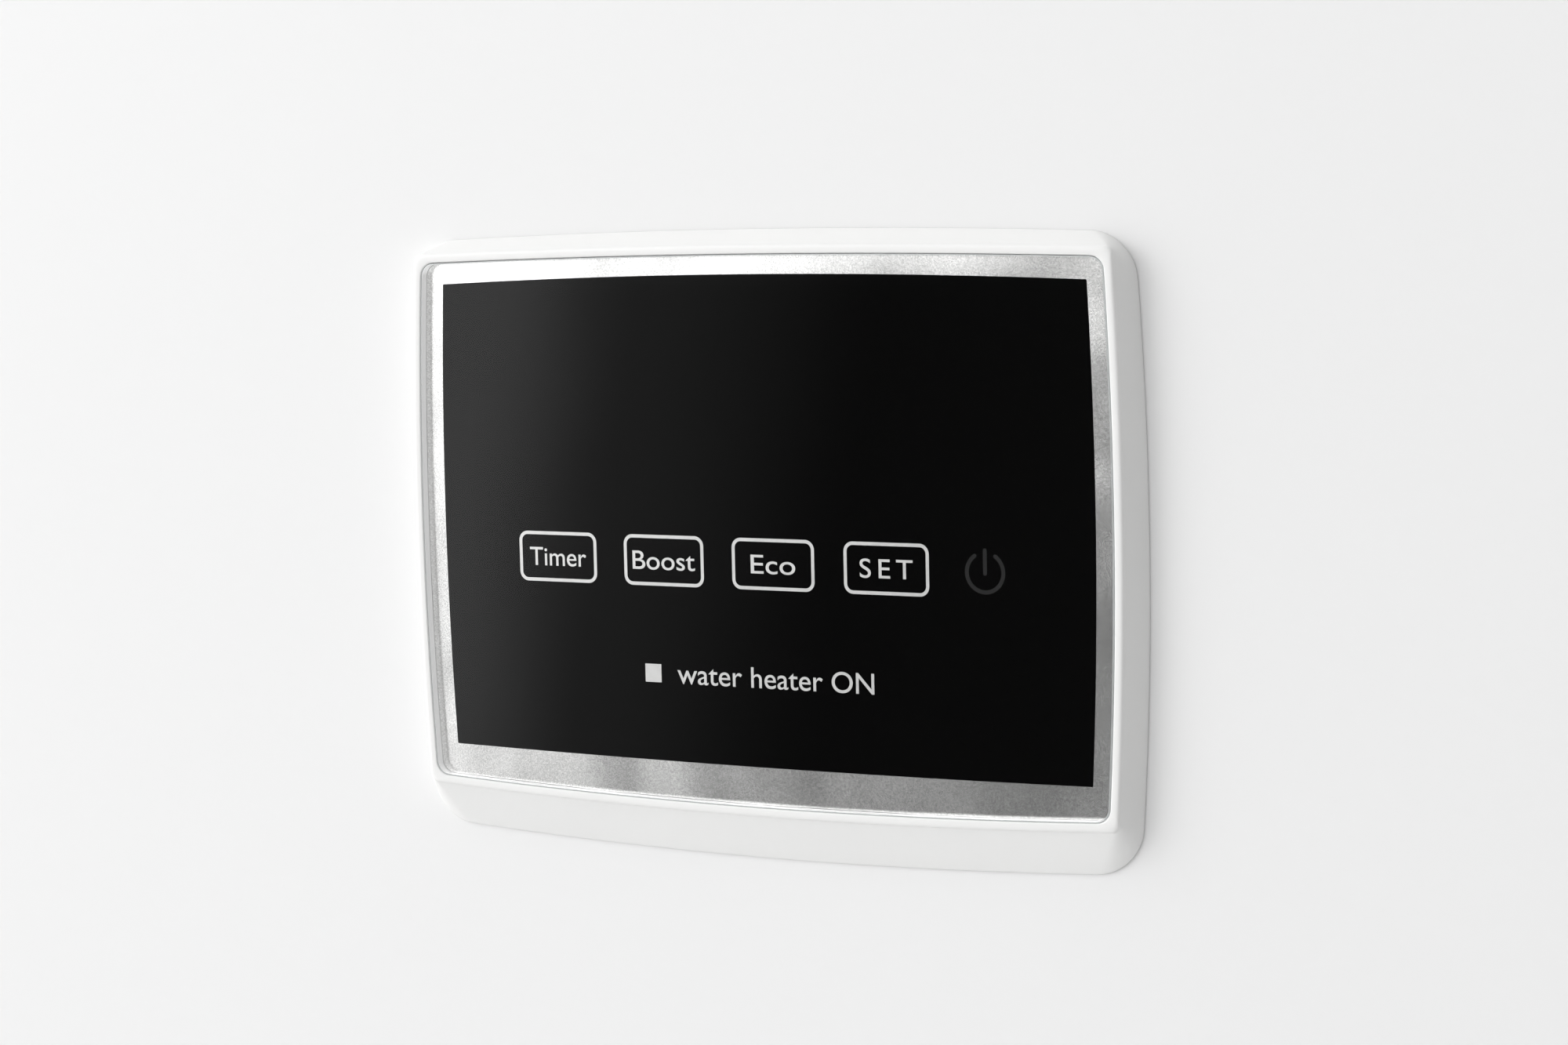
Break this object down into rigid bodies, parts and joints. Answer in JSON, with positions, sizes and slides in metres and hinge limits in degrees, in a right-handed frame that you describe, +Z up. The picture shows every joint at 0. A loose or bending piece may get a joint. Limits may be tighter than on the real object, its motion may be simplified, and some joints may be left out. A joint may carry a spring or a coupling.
{
  "type": "heating control panel",
  "caption": "Flush-fitted touch control panel with a bowed white frame, clear lens over a silver border and black window, and spring clips behind.",
  "frame": {"origin": "centre of the bezel's back, on the outer face of the casing that it is fitted in", "axes": "+X to the right across the panel, +Y into the casing, away from the user, +Z up"},
  "size_m": [0.1318, 0.025, 0.1014],
  "materials": {
    "white_gloss_abs": "moulded, glossy white",
    "clear_acrylic": "clear, polished",
    "silver_print": "silver ink behind the lens",
    "black_print": "black ink behind the lens",
    "pale_grey_print": "pale grey ink behind the lens",
    "adhesive_foam": "black adhesive foam",
    "seal_foam": "closed-cell foam",
    "white_reflector": "matt white moulding",
    "display_case": "dark grey case",
    "segment_resin": "milky resin",
    "tinned_pins": "tinned",
    "clear_pipe": "clear moulding",
    "led_resin": "resin",
    "gilt_spring_wire": "gilt spring wire",
    "board_laminate": "green solder mask",
    "chip_epoxy": "black epoxy",
    "ceramic_chip": "tan ceramic",
    "resistor_chip": "black glaze",
    "crystal_can": "pressed can",
    "capacitor_sleeve": "dark blue sleeve",
    "black_case_plastic": "black case",
    "header_nylon": "natural nylon",
    "zinc_steel": "zinc plated",
    "white_matt_abs": "moulded, finely textured white",
    "spring_steel": "rolled strip",
    "spring_wire": "drawn wire"
  },
  "bodies": {
    "module": {"front_bezel": "white_gloss_abs", "lens_panel": "clear_acrylic", "silver_border": "silver_print", "black_mask": "black_print", "key_legends": "pale_grey_print", "lens_tape": "adhesive_foam", "casing_gasket": "seal_foam", "light_frame": "white_reflector", "digit_display": "display_case", "display_segments": "segment_resin", "display_pins": "tinned_pins", "indicator_light_pipe": "clear_pipe", "key_leds": "led_resin", "touch_springs": "gilt_spring_wire", "main_board": "board_laminate", "microcontroller": "chip_epoxy", "touch_controller": "chip_epoxy", "chip_capacitors": "ceramic_chip", "chip_resistors": "resistor_chip", "crystal": "crystal_can", "voltage_regulator": "chip_epoxy", "smoothing_capacitor": "capacitor_sleeve", "buzzer": "black_case_plastic", "cable_header": "header_nylon", "header_pins": "tinned_pins", "board_screws": "zinc_steel", "rear_cover": "white_matt_abs", "cover_screws": "zinc_steel", "clip_pins": "zinc_steel"},
    "clip_top_left": {"clip_top_left": "spring_steel", "spring_top_left": "spring_wire"},
    "clip_top_right": {"clip_top_right": "spring_steel", "spring_top_right": "spring_wire"},
    "clip_bottom_left": {"clip_bottom_left": "spring_steel", "spring_bottom_left": "spring_wire"},
    "clip_bottom_right": {"clip_bottom_right": "spring_steel", "spring_bottom_right": "spring_wire"}
  },
  "joints": [
    {"name": "clip_top_left_hinge", "type": "hinge", "parent": "module", "child": "clip_top_left", "pos_m": [-0.038, 0.015, 0.04305], "axis": [1, 0, 0], "range_deg": [0, 12], "stiffness_Nm_per_rad": 0.08, "springref_deg": -34.38},
    {"name": "clip_top_right_hinge", "type": "hinge", "parent": "module", "child": "clip_top_right", "pos_m": [0.038, 0.015, 0.04305], "axis": [1, 0, 0], "range_deg": [0, 12], "stiffness_Nm_per_rad": 0.08, "springref_deg": -34.38},
    {"name": "clip_bottom_left_hinge", "type": "hinge", "parent": "module", "child": "clip_bottom_left", "pos_m": [-0.038, 0.015, -0.04305], "axis": [-1, 0, 0], "range_deg": [0, 12], "stiffness_Nm_per_rad": 0.08, "springref_deg": -34.38},
    {"name": "clip_bottom_right_hinge", "type": "hinge", "parent": "module", "child": "clip_bottom_right", "pos_m": [0.038, 0.015, -0.04305], "axis": [-1, 0, 0], "range_deg": [0, 12], "stiffness_Nm_per_rad": 0.08, "springref_deg": -34.38}
  ]
}
